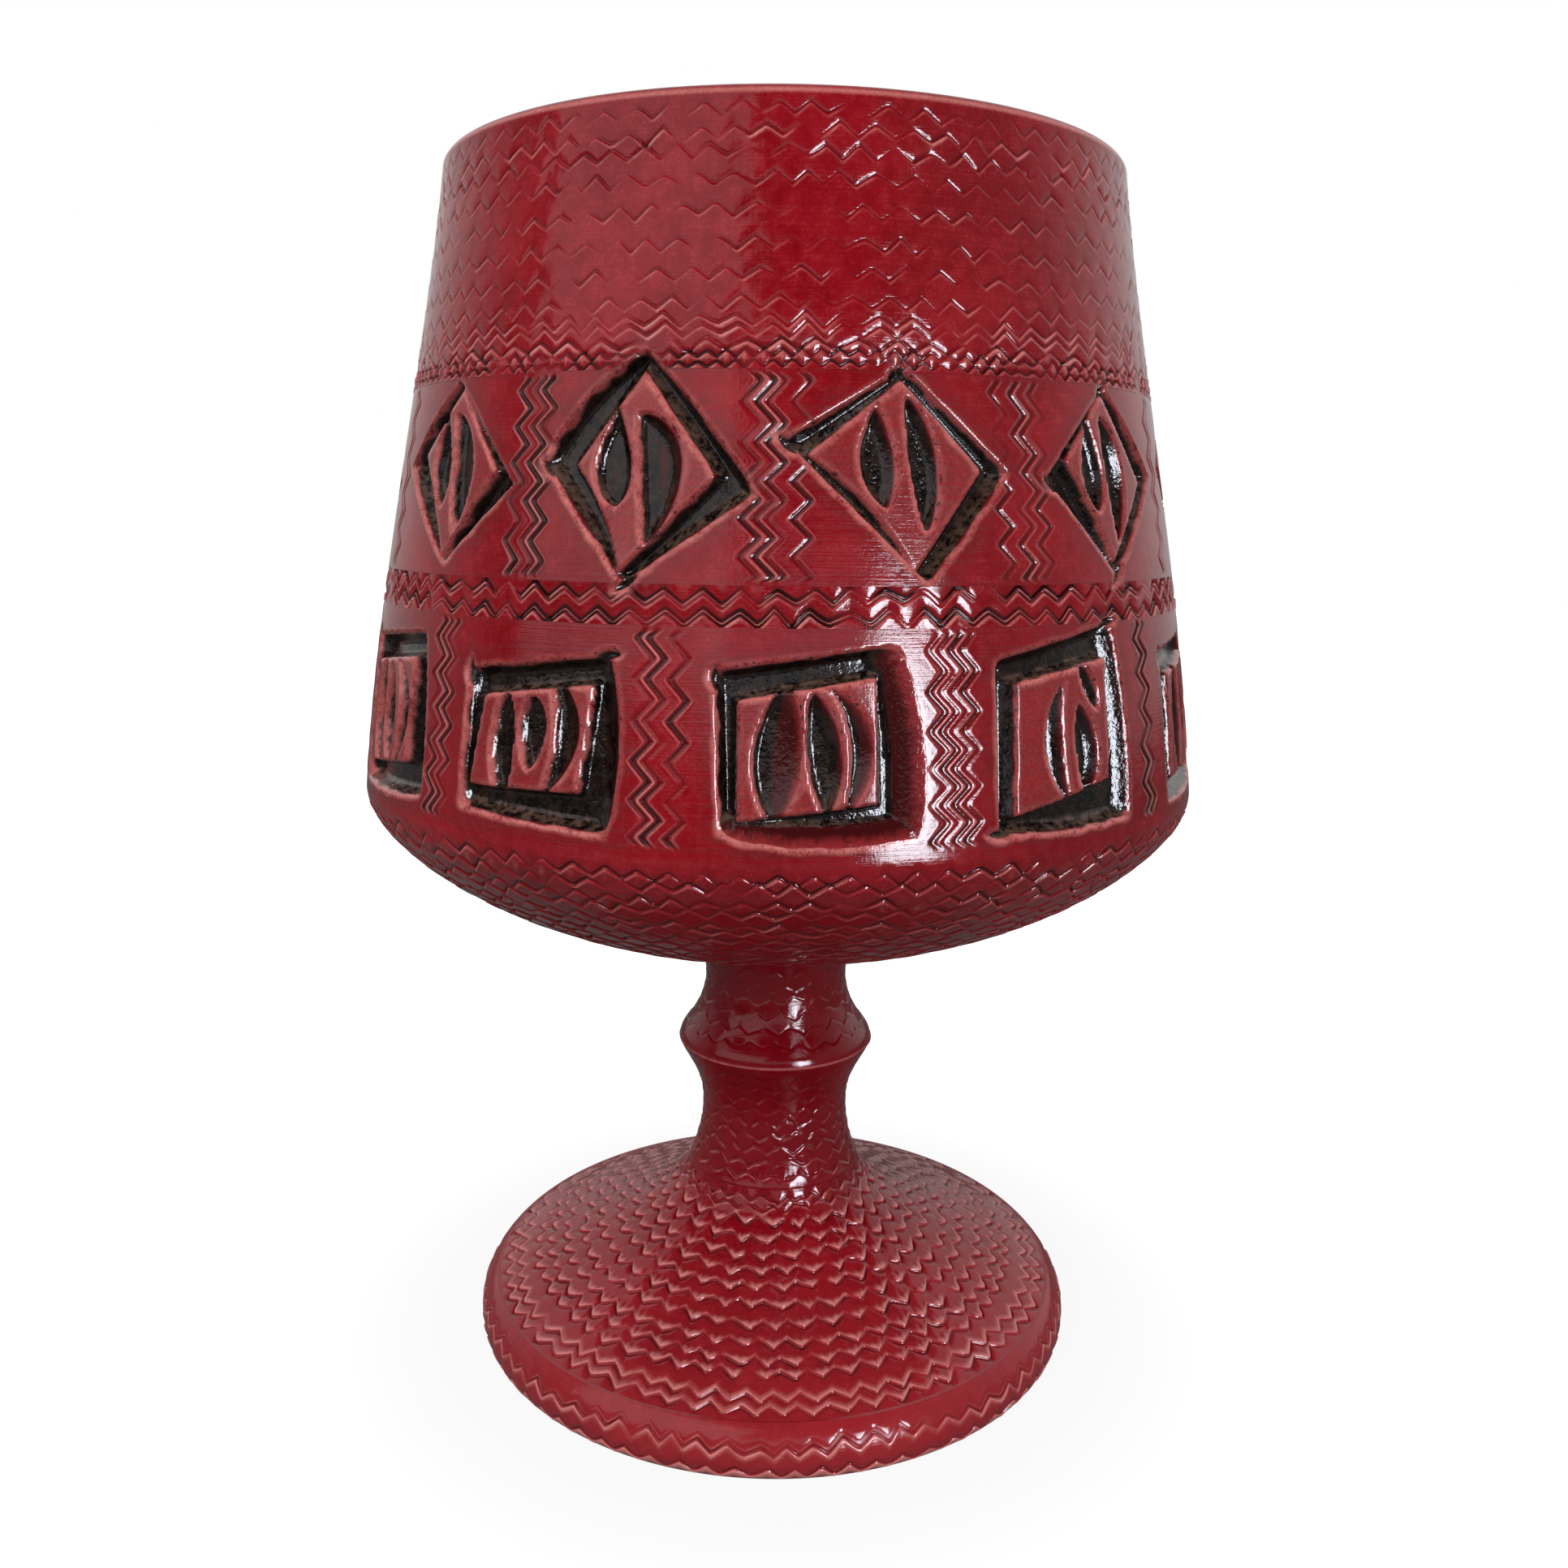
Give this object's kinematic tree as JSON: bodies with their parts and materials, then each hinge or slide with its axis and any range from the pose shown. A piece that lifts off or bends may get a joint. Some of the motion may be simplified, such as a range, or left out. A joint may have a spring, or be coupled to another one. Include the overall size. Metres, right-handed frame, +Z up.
{
  "type": "chalice vase",
  "caption": "Footed chalice-shaped earthenware vase: a tapering open bowl on a knopped hollow stem and a domed hollow foot, stamped, carved and dark red glazed.",
  "frame": {"origin": "centre of the foot's resting ring, on the surface that the vase stands on", "axes": "+Z up along the axis of turning; +X to the right and +Y away from the viewer of the pictured side"},
  "size_m": [0.2108, 0.2108, 0.3],
  "materials": {
    "crimson_glaze": "glossy crimson glaze that breaks to pale pink on edges, with black glaze in the carved channels",
    "maroon_glaze": "glossy, darker and thicker glaze",
    "joint_slip": "matt fired slip"
  },
  "bodies": {
    "root": {"foot": "crimson_glaze", "foot_slip_ring": "joint_slip", "lower_stem": "maroon_glaze", "knop_slip_ring": "joint_slip", "upper_stem": "maroon_glaze", "bowl_slip_ring": "joint_slip", "bowl": "crimson_glaze"}
  },
  "joints": []
}
